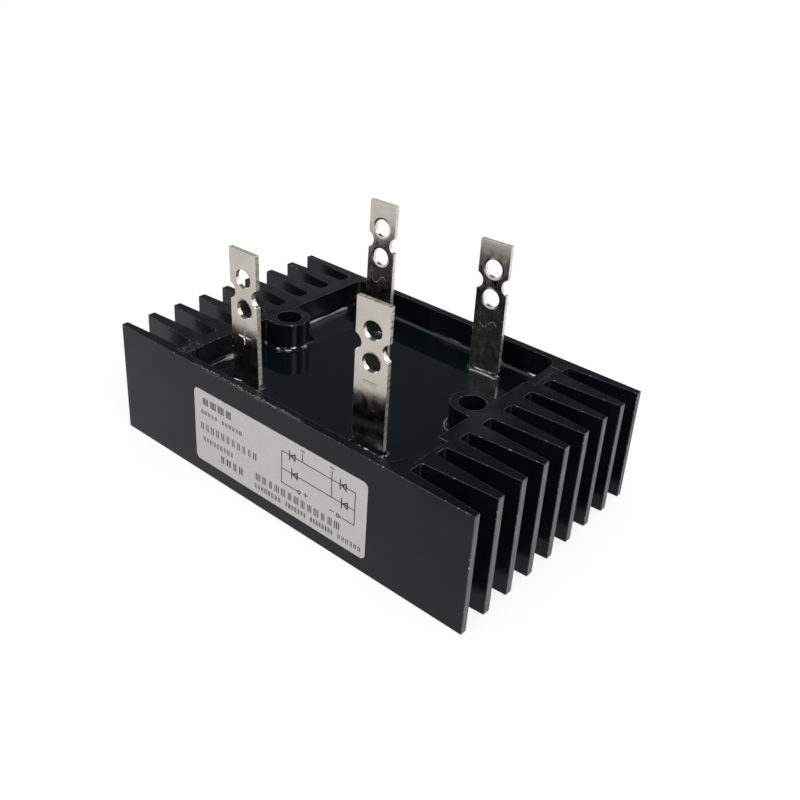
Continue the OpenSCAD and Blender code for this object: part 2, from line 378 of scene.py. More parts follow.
# %% The coating and the worn edges
violet = (0.87, 0.85, 1.0, 1.0)
anodised = Finish("black_anodised", (0.004, 0.004, 0.006), 0.22,
                  Specular_IOR_Level=0.22, Specular_Tint=violet)
across = anodised.add("ShaderNodeSeparateXYZ", {0: anodised.place})
at_end = anodised.calc("GREATER_THAN", anodised.calc("ABSOLUTE", across), fin_end)
end_streaks = anodised.grain(1500.0, 4.0, (1.0, 1.0, 0.12))
pale = anodised.varied(end_streaks, (0.062, 0.062, 0.062), (0.120, 0.120, 0.119))
cloud = anodised.grain(90.0, 3.0)
black = anodised.varied(cloud, (0.0020, 0.0019, 0.0030), (0.0044, 0.0042, 0.0058))
# Bare-metal flakes on the front edge, with the painted reflection of the plus strip on the rim's top
flakes_and_reflection = flakes_and_painted_reflection(anodised, 0.63, 0.70)
coated = anodised.mixed(at_end, black, pale)
anodised.set(Base_Color=anodised.mixed(flakes_and_reflection, coated, (0.55, 0.50, 0.40)), Metallic=flakes_and_reflection)
dull = anodised.ranged(anodised.grain(260.0, 4.0, shift=3.0), 0.16, 0.27)
end_roughness = 0.5
anodised.set(Roughness=anodised.calc("MAXIMUM", dull, anodised.times(at_end, end_roughness)))
drawn = anodised.grain(2600.0, 2.0, (1.0, 1.0, 0.02))
anodised.bump(drawn, 0.004 * MM, 0.35)

worn = Finish("worn_edge", (0.012, 0.012, 0.013), 0.3, Specular_IOR_Level=0.4, Specular_Tint=violet)
chips_and_reflection = worn.ranged(worn.grain(1300.0, 4.0), 0.0, 0.8, 0.62, 0.68)
# The worn edges near the front rim carry the same painted reflection as the rim's top
chips_and_reflection = worn.calc("MAXIMUM", chips_and_reflection, flakes_and_painted_reflection(worn, 0.60, 0.67))
worn.set(Base_Color=worn.mixed(chips_and_reflection, (0.010, 0.010, 0.011), (0.50, 0.47, 0.41)), Metallic=chips_and_reflection)
worn.polish(worn.grain(900.0, 3.0), 0.22, 0.42)
print("fin ends begin at", round(fin_end / MM, 2), "mm")

# %% [markdown]
# ## The finned housing
# On the real object this is one extruded profile: the trough, two drilled bosses and nine walls at
# each end are all parallel to the upright. That is a rule, so a node tree can build it: a block,
# minus a row of tapered slots at each end, minus the well, minus two holes. The slots are one
# outline copied along a line. Sizes are inputs of the tree, so another profile is a change of
# numbers. The block could also be modelled by hand, but then each change of the fins is work.

# %% Sizes of the housing
resin_low, resin_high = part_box("potting_resin")
well_length, well_width, _ = resin_high - resin_low
floor_z = resin_low.z
resin_z = resin_high.z
fin_root_x = 39.35 * MM
fin_tip = 2.2 * MM
fin_root = 4.9 * MM
slot_count = 8
outer_fin_tip = 1.9 * MM
slot_mouth = (width - 2 * outer_fin_tip - (slot_count - 1) * fin_tip) / slot_count
slot_pitch = slot_mouth + fin_tip
boss_r = 5.7 * MM
boss_inset = 3.3 * MM
hole_x = well_length / 2 - boss_inset
well_corner = 3.2 * MM
housing_sizes = {
    "Length": length, "Width": width, "Height": height, "Floor": floor_z,
    "Well Length": well_length, "Well Width": well_width, "Well Corner": well_corner,
    "Slot Count": slot_count, "Slot Pitch": slot_pitch, "Slot Mouth": slot_mouth,
    "Slot Bottom": slot_pitch - fin_root, "Slot Depth": length / 2 - fin_root_x,
    "Slot Corner": 0.8 * MM, "Boss Radius": boss_r, "Hole Centre": hole_x, "Hole Diameter": 7.0 * MM,
}
print("slots:", slot_count, "at each end,", round(slot_pitch / MM, 2), "mm apart")

# %% The block and its slots
body = Shape("finned_housing", housing_sizes)
size = body.size
past = 1.0 * MM
slot_steps, boss_steps, corner_steps, hole_corners = 6, 20, 10, 64
half_turn = (0.0, 0.0, math.pi)
top = body.plus(size["Height"], past)
block = body.box(size["Length"], size["Width"], size["Height"])
block = body.move(block, body.vec(z=body.times(size["Height"], 0.5)))

run = body.plus(size["Slot Depth"], past)
taper = body.calc("DIVIDE", body.minus(size["Slot Mouth"], size["Slot Bottom"]), size["Slot Depth"])
wide = body.plus(size["Slot Bottom"], body.times(taper, run))
slot = body.add("GeometryNodeCurvePrimitiveQuadrilateral",
                {"Height": run, "Bottom Width": size["Slot Bottom"], "Top Width": wide, "Offset": 0.0},
                mode="TRAPEZOID")
slot = body.filleted(slot, size["Slot Corner"], slot_steps)
inside = body.minus(size["Slot Depth"], body.times(run, 0.5))
slot_x = body.minus(body.times(size["Length"], 0.5), inside)
slot = body.move(body.upright(slot, -past, top), body.vec(slot_x), (0.0, 0.0, -math.pi / 2))
first = body.times(body.times(body.minus(size["Slot Count"], 1.0), -0.5), size["Slot Pitch"])
row = body.row(size["Slot Count"], body.vec(y=first), body.vec(y=size["Slot Pitch"]))
right_slots = body.copies(row, slot)
left_slots = body.move(right_slots, turn=half_turn)

# %% The bosses, the well and the holes
# A boss is the round end of a bar, four radii long, that runs on into the end wall. Its corners
# take all but a trace of half its width, because a fillet can't take the whole of it
radius = size["Boss Radius"]
nearly_all = 0.9999
boss = body.rounded(body.times(radius, 4.0), body.times(radius, 2.0),
                    body.times(radius, nearly_all), boss_steps)
boss = body.upright(boss, 0.0, body.plus(top, past))
boss = body.move(boss, body.vec(body.plus(size["Hole Centre"], radius)))
well = body.rounded(size["Well Length"], size["Well Width"], size["Well Corner"], corner_steps)
well = body.cut(body.upright(well, size["Floor"], top), [boss, body.move(boss, turn=half_turn)])

hole = body.upright(body.disc(body.times(size["Hole Diameter"], 0.5), hole_corners), -past, top)
left_hole = body.vec(body.times(size["Hole Centre"], -1.0))
holes = body.copies(body.row(2, left_hole, body.vec(body.times(size["Hole Centre"], 2.0))), hole)
body.end(body.merged(body.cut(block, [right_slots, left_slots, well, holes])), anodised.material)
housing = grow("housing_finish", body, housing_sizes)
measured(housing)

# %% [markdown]
# A sawn and anodised edge is never sharp. A bevel of 0.16 mm catches the light as the real edges do,
# and it has a finish of its own, in which the coating is worn through here and there. Near the front
# rim it also carries the painted reflection of the plus strip.

# %% Round the housing's edges
def bevelled(piece, radius, material, angle=40.0):
    """Rounds the sharp edges and gives the rounded faces a material of their own."""
    piece.data.materials.append(material)
    bevel = piece.modifiers.new("rounded edges", "BEVEL")
    bevel.width = radius
    bevel.segments = 2
    bevel.limit_method = "ANGLE"
    bevel.angle_limit = math.radians(angle)
    bevel.use_clamp_overlap = False
    bevel.material = len(piece.data.materials) - 1
    return settle(piece)


edge_round = 0.16 * MM
bevelled(housing, edge_round, worn.material)

# %% [markdown]
# ## Nicks along the front rim
# Where the saw left the metal, the coating has chipped along the front edge. Painted flecks would
# vanish from the side, so the nicks are cut: small stones are strewn along the edge, and a
# boolean takes them out of the housing. The cut faces keep the stones' bare metal.

# %% Tree that strews the nicks
bare = Finish("bare_nick", (0.72, 0.69, 0.61), 0.42, Metallic=0.3)
bare.tint(bare.grain(2500.0, 3.0), (0.52, 0.48, 0.40), (0.95, 0.92, 0.85))

nick_y = front_y + 0.35 * MM
nick_sizes = {"Count": 80, "Start": (-29.0 * MM, nick_y, height), "End": (9.0 * MM, nick_y, height),
              "Scatter": (0.25 * MM, 0.38 * MM, 0.04 * MM), "Nick Size": 0.12 * MM, "Seed": 4}
any_turn = (6.28, 6.28, 6.28)
strewn = Shape("edge_nicks", nick_sizes)
size = strewn.size
back = strewn.add("ShaderNodeVectorMath", {0: size["Scatter"], 1: (-1.0, -1.0, -1.0)}, operation="MULTIPLY")
line = strewn.row(size["Count"], size["Start"], size["End"], "END_POINTS")
line = strewn.shifted(line, strewn.random(back, size["Scatter"], size["Seed"]))
turn = strewn.random((0.0, 0.0, 0.0), any_turn, seed=7)
scale = strewn.random((0.5, 0.5, 0.5), (1.6, 1.2, 1.2), seed=9)
stones = strewn.copies(line, strewn.pebble(size["Nick Size"], 1), Rotation=turn, Scale=scale)
strewn.end(stones, bare.material)
nicks = grow("nicks", strewn, nick_sizes)
measured(nicks)

# %% Cut the nicks and the two shallow reliefs in the rim
floor_facing = 0.9


def sunk_boxes(name, boxes, slant, *materials):
    """Boxes between two opposite corners each, narrower below by a slant in x and in y."""
    made = bmesh.new()
    for low, high in boxes:
        middle = (Vector(low) + Vector(high)) / 2
        half = (Vector(high) - Vector(low)) / 2
        for v in bmesh.ops.create_cube(made, size=2.0)["verts"]:
            held = slant if v.co.z < 0 else (0.0, 0.0)
            reach = Vector((half.x - held[0], half.y - held[1], half.z))
            v.co = middle + v.co * reach
    made.normal_update()
    for face in made.faces:
        face.material_index = int(abs(face.normal.z) < floor_facing)
    return as_mesh(name, made, *materials)


# The reliefs' walls get a paler colour than the coating: a painted highlight that draws their outlines
relief_wall = Finish("relief_wall", (0.06, 0.058, 0.052), 0.4)
relief_wall.polish(relief_wall.grain(900.0), 0.3, 0.5)
relief_depth = 0.25 * MM
relief_long = 12.5 * MM
relief_inset = 3.4 * MM
relief_x = (well_length / 2 - past, well_length / 2 + 3.2 * MM)
relief_y = (well_width / 2 - relief_inset - relief_long, well_width / 2 - relief_inset)
corners = []
for side in (-1, 1):
    low_y, high_y = sorted(side * y for y in relief_y)
    low, high = (relief_x[0], low_y, height - relief_depth), (relief_x[1], high_y, height + relief_depth)
    corners.append((low, high))
slant = (2 * relief_depth, 0.5 * relief_depth)
reliefs = sunk_boxes("reliefs", corners, slant, anodised.material, relief_wall.material)
reliefs = shown("reliefs", reliefs)
for tool in (reliefs, nicks):
    cutter = housing.modifiers.new(tool.name, "BOOLEAN")
    cutter.object = tool
    cutter.solver = "EXACT"
    cutter.material_mode = "TRANSFER"
    cutter.use_self = tool is nicks
    settle(housing)
    bpy.data.objects.remove(tool)
measured(housing)

# %% Shade the housing and fix it to the part
rim_angle = math.radians(50)


def softened(piece):
    """Shades a piece smooth up to its sharp edges, with the large faces staying flat."""
    piece.data.shade_smooth()
    piece.data.set_sharp_from_angle(angle=rim_angle)
    weighted = piece.modifiers.new("weighted", "WEIGHTED_NORMAL")
    weighted.mode = "FACE_AREA"
    weighted.keep_sharp = True
    return settle(piece)


softened(housing)
dressed(housing, "black_anodised", "housing")

# %% [markdown]
# ## Resin with a meniscus
# The trough is filled with black epoxy. Before it set, it crept up everything that it touched, so
# its surface is a mirror in the middle and bends up at the walls, bosses and strips. Those bends
# give the bright glints at the strips' feet. The surface is triangulated through rings that run
# parallel to each outline, so the points lie where the surface bends and nowhere else.

# %% The resin's finish
resin = Finish("black_resin", (0.0018, 0.0034, 0.0048), 0.05, Specular_IOR_Level=0.72)
resin.polish(resin.grain(140.0, 3.0), 0.03, 0.075)
resin.bump(resin.grain(70.0, 1.0), 0.02 * MM, 0.25)

# %% Outlines that the resin meets
# The strips: where each one leaves the resin, how far it leans back and to the right, how far it is
# turned, in degrees, and its stamped sign with the sign's distance below the strip's top
strips = {
    "terminal_plus": ((-22.4, -24.0), (1.5, 0.0, 1.7), "plus", 23.7),
    "terminal_minus": ((19.9, -24.2), (3.7, 2.3, 6.3), "minus", 21.4),
    "terminal_ac_left": ((-19.0, 23.1), (-1.0, -0.4, 1.6), "wave", 22.9),
    "terminal_ac_right": ((17.1, 26.8), (1.0, 0.0, 4.0), "wave", 23.7),
}
blade_w = 9.2 * MM
blade_t = 1.3 * MM


def strip_place(name):
    """The matrix that takes a strip's own frame, upright from the resin, to its place."""
    (x, y), lean, _, _ = strips[name]
    turned = Euler([math.radians(a) for a in lean]).to_matrix().to_4x4()
    return Matrix.Translation((x * MM, y * MM, resin_z)) @ turned


def arc(centre, radius, start, stop, steps):
    """Points along an arc, from one angle to another in degrees."""
    angles = np.radians(np.linspace(start, stop, steps))
    return [(centre[0] + radius * math.cos(a), centre[1] + radius * math.sin(a)) for a in angles]


boss_points, corner_points = 22, 14


def well_outline():
    """The trough's outline round both bosses, from the right boss on, to the left."""
    corner_x, corner_y = well_length / 2 - well_corner, well_width / 2 - well_corner
    half = arc((hole_x, 0), boss_r, 180, 90, boss_points) + [(well_length / 2, boss_r)]
    half += arc((corner_x, corner_y), well_corner, 0, 90, corner_points)
    other = [(-x, -y) for x, y in half]
    lower = [(x, -y) for x, y in reversed(half[1:])]
    upper = [(-x, -y) for x, y in lower]
    return half + upper + other[1:] + lower


def spaced(outline, step):
    """The same closed outline with no stretch longer than step."""
    made = []
    for a, b in zip(outline, outline[1:] + outline[:1]):
        count = max(1, math.ceil(math.dist(a, b) / step))
        made += [tuple(np.add(a, np.subtract(b, a) * k / count)) for k in range(count)]
    return made


def strip_outline(name, grow_by=0.0):
    """A strip's section at the resin's surface, grown a little on all sides."""
    place = strip_place(name)
    corners = [(sx * (blade_w / 2 + grow_by), sy * (blade_t / 2 + grow_by)) for sx, sy in
               ((-1, -1), (1, -1), (1, 1), (-1, 1))]
    return [tuple((place @ Vector((x, y, 0.0)))[:2]) for x, y in corners]


ring_step = 0.45 * MM
outline = spaced(well_outline(), ring_step)
print("resin outline:", len(outline), "points")

# %% Distances on the resin
tiny = 1e-18


def gap_to(outline, points):
    """Distance from each point to the nearest stretch of a closed outline."""
    a = np.array(outline)
    b = np.roll(a, -1, axis=0)
    best = np.full(len(points), np.inf)
    for p, q in zip(a, b):
        along = q - p
        share = np.clip((points - p) @ along / max(along @ along, tiny), 0.0, 1.0)
        best = np.minimum(best, np.linalg.norm(points - p - share[:, None] * along, axis=1))
    return best


def boss_gap(points, side):
    """Distance from each point to one boss."""
    x = np.maximum((side * points[:, 0]) - hole_x, 0.0)
    return np.hypot(side * points[:, 0] - hole_x - x, points[:, 1]) - boss_r


def wander(points, per_metre, seed):
    """Noise from about -1 to 1 over the surface, the same for a seed."""
    return np.array([noise.noise(Vector((x * per_metre, y * per_metre, seed))) for x, y in points])


middle_gap = gap_to(outline, np.zeros((1, 2)))[0]
print("middle of the trough:", round(middle_gap / MM, 1), "mm from its outline")

# %% Heights of the resin
# How high the resin crept up and how far from there it is flat again: at walls, bosses and strips.
# A higher run of it hangs on the left wall, near the front
wall_creep, wall_spread = 1.0 * MM, 0.85 * MM
boss_creep, boss_spread = 1.1 * MM, 0.6 * MM
strip_creep, strip_spread = 0.8 * MM, 0.5 * MM
run_creep, run_spread = 0.9 * MM, 0.25 * MM
run_y, run_depth, run_length = -21 * MM, 6 * MM, 7 * MM
inset = 0.2 * MM
corner_creep, corner_reach = 1.3, 1.0 * MM
# How much of each creep wanders from place to place, and how much of the strips' creep doesn't
wall_uneven, boss_uneven, strip_uneven = 0.5, 0.4, 0.6
strip_even = 0.6


def resin_height(points):
    """How far the resin has crept up at each point."""
    past_x, past_y = np.abs(points.T) - np.array([[well_length / 2], [well_width / 2]]) + well_corner
    walls = well_corner - np.hypot(np.maximum(past_x, 0.0), np.maximum(past_y, 0.0))
    walls -= np.minimum(np.maximum(past_x, past_y), 0.0)
    uneven = wander(points, 120.0, seed=3.0)
    left_run = np.exp(-((points[:, 0] + well_length / 2) / run_depth) ** 2)
    left_run *= np.exp(-((points[:, 1] - run_y) / run_length) ** 2)
    rise = wall_creep * (1.0 + wall_uneven * uneven) + run_creep * left_run
    spread = wall_spread + run_spread * left_run
    parts = [rise * np.exp(-walls / spread)]
    for side in (-1, 1):
        rise = boss_creep * (1.0 + boss_uneven * uneven)
        parts.append(rise * np.exp(-boss_gap(points, side) / boss_spread))
    for name in strips:
        gap = gap_to(strip_outline(name, -inset), points) - inset
        to_corner = np.min([np.hypot(*(points - corner).T) for corner in strip_outline(name)], axis=0)
        lumps = strip_even + strip_uneven * wander(points, 330.0, seed=8.0)
        lumps += corner_creep * np.exp(-(to_corner / corner_reach) ** 2)
        parts.append(strip_creep * lumps * np.exp(-gap / strip_spread))
    return np.sum(np.abs(np.array(parts)) ** 2.0, axis=0) ** 0.5


def resin_normals(points):
    """The surface's direction at each point, from how it rises along x and along y."""
    step = 0.01 * MM
    slopes = [(resin_height(points + shift) - resin_height(points - shift)) / (2 * step)
              for shift in (np.array((step, 0.0)), np.array((0.0, step)))]
    normals = np.column_stack([-slopes[0], -slopes[1], np.ones(len(points))])
    return normals / np.linalg.norm(normals, axis=1)[:, None]


print("resin creeps up", round(wall_creep / MM, 1), "mm at the walls")

# %% Places of the surface's points
def offset_ring(loop, gap):
    """Points at one distance from a closed loop, on the side to the left of its run."""
    made = []
    for before, here, after in zip(loop[-1:] + loop[:-1], loop, loop[1:] + loop[:1]):
        along = np.subtract(after, before)
        across = np.array((-along[1], along[0])) / np.linalg.norm(along)
        made.append(tuple(np.array(here) + gap * across))
    return made


def within(loop, points):
    """Whether each point lies inside a closed loop, by counting crossings."""
    a = np.array(loop)
    b = np.roll(a, -1, axis=0)
    odd = np.zeros(len(points), bool)
    for (ax, ay), (bx, by) in zip(a, b):
        if ay != by:
            crosses = (ay > points[:, 1]) != (by > points[:, 1])
            odd ^= crosses & (points[:, 0] < (bx - ax) * (points[:, 1] - ay) / (by - ay) + ax)
    return odd


def in_resin(points):
    """Whether each point lies in the trough and outside every strip."""
    held = within(outline, points)
    for loop in strip_loops:
        held &= ~within(loop, points)
    return held


bite = 0.01 * MM
strip_loops = [spaced(strip_outline(name, -bite), ring_step) for name in strips]
ring_gaps = [g * MM for g in (0.08, 0.18, 0.3, 0.45, 0.65, 0.9, 1.25, 1.8, 2.7, 4.0)]
field_step = 2.4 * MM
spots = []
for gap in ring_gaps:
    for loop in [outline] + [loop[::-1] for loop in strip_loops]:
        spots += [(*p, gap) for p in offset_ring(loop, gap)]
for x in np.arange(-well_length / 2, well_length / 2, field_step):
    spots += [(x, y, ring_gaps[-1]) for y in np.arange(-well_width / 2, well_width / 2, field_step)]
spots = np.array(spots)
clear = np.min([gap_to(loop, spots[:, :2]) for loop in [outline] + strip_loops], axis=0)
clear_share = 0.8
spots = spots[in_resin(spots[:, :2]) & (clear > clear_share * spots[:, 2])][:, :2]
closest = 0.07 * MM
crowded = {tuple(cell): k for k, cell in enumerate(np.round(spots / closest).astype(int))}
spots = spots[sorted(crowded.values())]
print("points on the resin:", len(spots))

# %% Triangulate the surface and close it into a solid
one_place = 1e-7
upward = 0.1
rim_points = [p for loop in [outline] + strip_loops for p in loop]
rim_edges, start = [], 0
for loop in [outline] + strip_loops:
    rim_edges += [(start + k, start + (k + 1) % len(loop)) for k in range(len(loop))]
    start += len(loop)
flat, _, triangles, *_ = geometry.delaunay_2d_cdt(
    [Vector(p) for p in [*rim_points, *map(tuple, spots)]], rim_edges, [], 1, one_place)
flat = np.array([tuple(p) for p in flat])
kept = in_resin(np.array([flat[list(t)].mean(axis=0) for t in triangles]))
pocket_depth = 12.0 * MM

solid = bmesh.new()
verts = [solid.verts.new((x, y, z)) for (x, y), z in zip(flat, resin_z + resin_height(flat))]
for triangle, good in zip(triangles, kept):
    if good:
        solid.faces.new([verts[i] for i in triangle])
solid.normal_update()
made = bmesh.ops.extrude_edge_only(solid, edges=[e for e in solid.edges if e.is_boundary])["geom"]
lower = [v for v in made if isinstance(v, bmesh.types.BMVert)]
at_wall = gap_to(outline, np.array([v.co[:2] for v in lower])) < 2 * bite
for v, outer in zip(lower, at_wall):
    v.co.z = floor_z if outer else resin_z - pocket_depth
bmesh.ops.edgeloop_fill(solid, edges=[e for e in solid.edges if e.is_boundary])
bmesh.ops.recalc_face_normals(solid, faces=solid.faces)
mesh = as_mesh("resin", solid, resin.material)
mesh.shade_smooth()
bent = resin_normals(np.array([v.co[:2] for v in mesh.vertices]))
mesh.normals_split_custom_set([tuple(bent[v]) if face.normal.z > upward else tuple(face.normal)
                               for face in mesh.polygons for v in face.vertices])
dressed(shown("resin_finish", mesh), "black_resin", "potting_resin")

# %% [markdown]
# Some resin ran over the rim at the left front corner and set there in small flat lumps. They are
# points on a patch of the rim, and each carries a ball that is pressed flat.

# %% Lumps of spilt resin on the rim
spill_sizes = {"Count": 110, "Low": (-38.0 * MM, -34.9 * MM, height - 0.2 * MM),
               "High": (-34.9 * MM, -27.5 * MM, height), "Lump": 0.4 * MM, "Seed": 12}
spill = Shape("spilt_resin", spill_sizes)
size = spill.size
spots = spill.row(size["Count"], (0.0, 0.0, 0.0), (0.0, 0.0, 0.0))
spots = spill.shifted(spots, spill.random(size["Low"], size["High"], size["Seed"]))
press = spill.random((0.3, 0.3, 0.15), (1.0, 1.0, 0.45), seed=6)
lumps = spill.copies(spots, spill.pebble(size["Lump"], 2), Scale=press)
spill.end(lumps, resin.material)
spilt = grow("spilt_resin", spill, spill_sizes)
spilt.data.shade_smooth()
dressed(spilt, "black_resin")

# %% [markdown]
# ## Plated strips
# Each terminal is a strip of nickel-plated copper, punched with two holes and notched at both
# edges. Punching draws the metal down round a hole, so a shallow ring lies round it, and leaves
# the cut sides rough. The signs are stamped in. One strip was sheared with a worn blade, which
# tore a ladder of slanting notches into its right edge; the notches' walls get a painted shade
# that makes them dark. The plain strips already have the right form, so their meshes are copied,
# merged and stood upright at the origin, where cones, a rod for the sign and a row of small bars
# are taken out of them. Then each goes back to its place.

# %% Four finishes of the plated metal
plated = Finish("nickel_plate", (0.62, 0.59, 0.53), 0.2, Metallic=1.0)
plated.tint(plated.grain(110.0, 4.0), (0.64, 0.605, 0.535), (0.55, 0.515, 0.45))
brushed = plated.grain(1800.0, 3.0, (1.0, 1.0, 0.08))
mottle = plated.ranged(plated.grain(420.0, 4.0), 0.10, 0.22)
plated.set(Roughness=plated.plus(mottle, plated.ranged(brushed, 0.0, 0.08)))
plated.bump(plated.plus(brushed, plated.grain(700.0, 3.0)), 0.006 * MM, 0.35)


def cut_metal(name, metallic, dark, light, smooth, rough):
    """The finish of a cut face, with marks that run across the plate."""
    finish = Finish(name, light, rough, Metallic=metallic)
    marks = finish.grain(2200.0, 4.0, (1.0, 0.25, 0.6))
    finish.tint(marks, dark, light)
    finish.polish(marks, smooth, rough)
    finish.bump(marks, 0.012 * MM, 0.5)
    return finish


sheared = cut_metal("sheared_plate", 0.9, (0.60, 0.56, 0.49), (0.90, 0.87, 0.81), 0.22, 0.42)
pierced = cut_metal("punched_wall", 1.0, (0.68, 0.645, 0.58), (0.90, 0.88, 0.83), 0.14, 0.30)
# The torn notches' walls are nearly black: a painted shade for these narrow recesses
notch_shade = cut_metal("torn_notch", 0.9, (0.05, 0.045, 0.04), (0.20, 0.18, 0.16), 0.3, 0.5)

# %% Tree that punches and stamps a strip
punch_sizes = {"Thickness": blade_t, "Hole Radius": 2.55 * MM, "Upper Hole": 0.0, "Hole Pitch": 8.5 * MM,
               "Ring Width": 0.55 * MM, "Ring Depth": 0.13 * MM, "Sign Height": 0.0,
               "Sign Length": 4.0 * MM, "Sign Rod": 0.3 * MM, "Sign Depth": 0.22 * MM,
               "Tear Count": 0, "Tear Low": 1.5 * MM, "Tear High": 22.0 * MM, "Tear Size": 0.15 * MM}
sign_sizes_of = {
    "plus": {"Sign Length": 4.2 * MM},
    "minus": {"Sign Rod": 0.5 * MM, "Sign Depth": 0.15 * MM, "Tear Count": 41},
    "wave": {"Sign Length": 5.3 * MM, "Sign Rod": 0.15 * MM, "Sign Depth": 0.03 * MM},
}
ring_corners, rod_corners, wave_points = 64, 48, 25
wave_swing = 0.43
tear_proud = 0.03 * MM
tear_tilt = (0.0, math.pi / 9, 0.0)
face_front = (math.pi / 2, 0.0, 0.0)
through = 2 * MM


def punching(sign):
    """The tree for a strip with this sign: plus, minus or wave."""
    tree = Shape("punched_strip_" + sign, punch_sizes)
    size = tree.size
    face = tree.times(size["Thickness"], 0.5)
    # The cone for a ring starts within the hole and goes on above the face
    deep = tree.times(size["Ring Depth"], 1.25)
    inner = tree.minus(size["Hole Radius"], tree.times(size["Ring Width"], 0.25))
    outer = tree.plus(size["Hole Radius"], tree.times(size["Ring Width"], 2.0))
    cone = tree.add("GeometryNodeMeshCone", {
        "Vertices": ring_corners, "Radius Bottom": inner, "Radius Top": outer,
        "Depth": tree.plus(deep, size["Ring Depth"])})
    front = tree.move(cone, turn=face_front)
    front = tree.move(front, tree.vec(y=tree.minus(deep, face)))
    both = tree.together(front, tree.move(front, turn=half_turn))
    lower_hole = tree.vec(z=tree.minus(size["Upper Hole"], size["Hole Pitch"]))
    rings = tree.copies(tree.row(2, lower_hole, tree.vec(z=size["Hole Pitch"])), both)

    half = tree.times(size["Sign Length"], 0.5)
    line = tree.straight(tree.vec(tree.times(half, -1.0)), tree.vec(half))
    if sign == "wave":
        line = tree.add("GeometryNodeResampleCurve", {"Curve": line, "Count": wave_points})
        along = tree.add("ShaderNodeSeparateXYZ", {0: tree.add("GeometryNodeInputPosition")})
        swing = tree.calc("SINE", tree.times(tree.calc("DIVIDE", along, half), math.pi))
        line = tree.shifted(line, tree.vec(z=tree.times(swing, tree.times(half, wave_swing))))
    rod = tree.swept(line, tree.disc(size["Sign Rod"], rod_corners))
    sink = tree.minus(size["Sign Rod"], size["Sign Depth"])
    stamp = tree.vec(y=tree.times(tree.plus(face, sink), -1.0), z=size["Sign Height"])

    tear_x = blade_w / 2 + tear_proud
    lowest, highest = (tree.vec(tear_x, z=size["Tear " + end]) for end in ("Low", "High"))
    tear = tree.move(tree.box(size["Tear Size"], through, size["Tear Size"]), turn=tear_tilt)
    uneven = tree.random((0.7, 1.0, 0.7), (1.1, 1.0, 1.1), seed=2)
    tears = tree.copies(tree.row(size["Tear Count"], lowest, highest, "END_POINTS"), tear, Scale=uneven)
    tools = [rings, tree.move(rod, stamp), tears]
    if sign == "plus":
        tools.append(tree.move(tree.move(rod, turn=(0.0, math.pi / 2, 0.0)), stamp))
    return tree.end(tree.merged(tree.cut(size["Geometry"], tools)), plated.material)


# %% [markdown]
# The shear leaves a row of small burrs down both front edges, below the notches. They are grains
# of a few faces each, set along a line with a random size, so that the edge glitters.

# %% Tree that strews burrs down a strip's edges
burr_sizes = {"Count": 60, "Low": 0.0, "High": 1.0, "Edge": (0.0, 0.0, 0.0), "Burr Size": 0.07 * MM,
              "Reach": (1.2, 1.0, 1.2), "Seed": 1}
burrs = Shape("shear_burrs", burr_sizes)
size = burrs.size
line = burrs.row(size["Count"], burrs.vec(z=size["Low"]), burrs.vec(z=size["High"]), "END_POINTS")
stray = burrs.random((-0.05 * MM, -0.02 * MM, -0.10 * MM), (0.05 * MM, 0.04 * MM, 0.10 * MM), size["Seed"])
line = burrs.shifted(line, stray)
turn = burrs.random((-0.4, -0.4, -0.4), (0.4, 0.4, 0.4), seed=3)
scale = burrs.random((0.4, 0.4, 0.4), size["Reach"], seed=5)
row = burrs.copies(line, burrs.pebble(size["Burr Size"], 1), Rotation=turn, Scale=scale)
burrs.end(burrs.move(row, size["Edge"]), sheared.material)

# %% Copying a plain strip and joining its pieces
def merged_copy(name):
    """A CAD piece's mesh as one closed skin, with its flat faces whole."""
    copy = bmesh.new()
    copy.from_mesh(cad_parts[name].data)
    bmesh.ops.remove_doubles(copy, verts=copy.verts, dist=0.001 * MM)
    bmesh.ops.dissolve_limit(copy, angle_limit=math.radians(1.0), verts=copy.verts, edges=copy.edges)
    return as_mesh(name + "_copy", copy)


def joined(name, pieces, place):
    """One piece made of several, taken to its place."""
    materials = []
    whole = bmesh.new()
    for piece in pieces:
        start = len(whole.faces)
        whole.from_mesh(piece.data)
        whole.faces.ensure_lookup_table()
        for face in whole.faces[start:]:
            material = piece.data.materials[face.material_index]
            if material not in materials:
                materials.append(material)
            face.material_index = materials.index(material)
        bpy.data.objects.remove(piece)
    mesh = as_mesh(name, whole, *materials)
    mesh.transform(place)
    return shown(name, mesh)


# %% Make the four strips
hole_drop = 7.5 * MM
strip_round = 0.1 * MM
strip_angle = math.radians(9)
# A face of the strip is broad, or it is cut: in a hole, at the rim, or slanting in a torn notch, whose
# walls get the painted shade
rim = 0.12 * MM
broad_facing, slant_least = 0.75, 0.3
burr_start, burr_stop = 1.2 * MM, 13.0 * MM
burr_in_x, burr_in_y = 0.05 * MM, 0.03 * MM
burr_reach = (0.9, 0.9, 1.8)
punched = {sign: punching(sign) for sign in ("plus", "minus", "wave")}

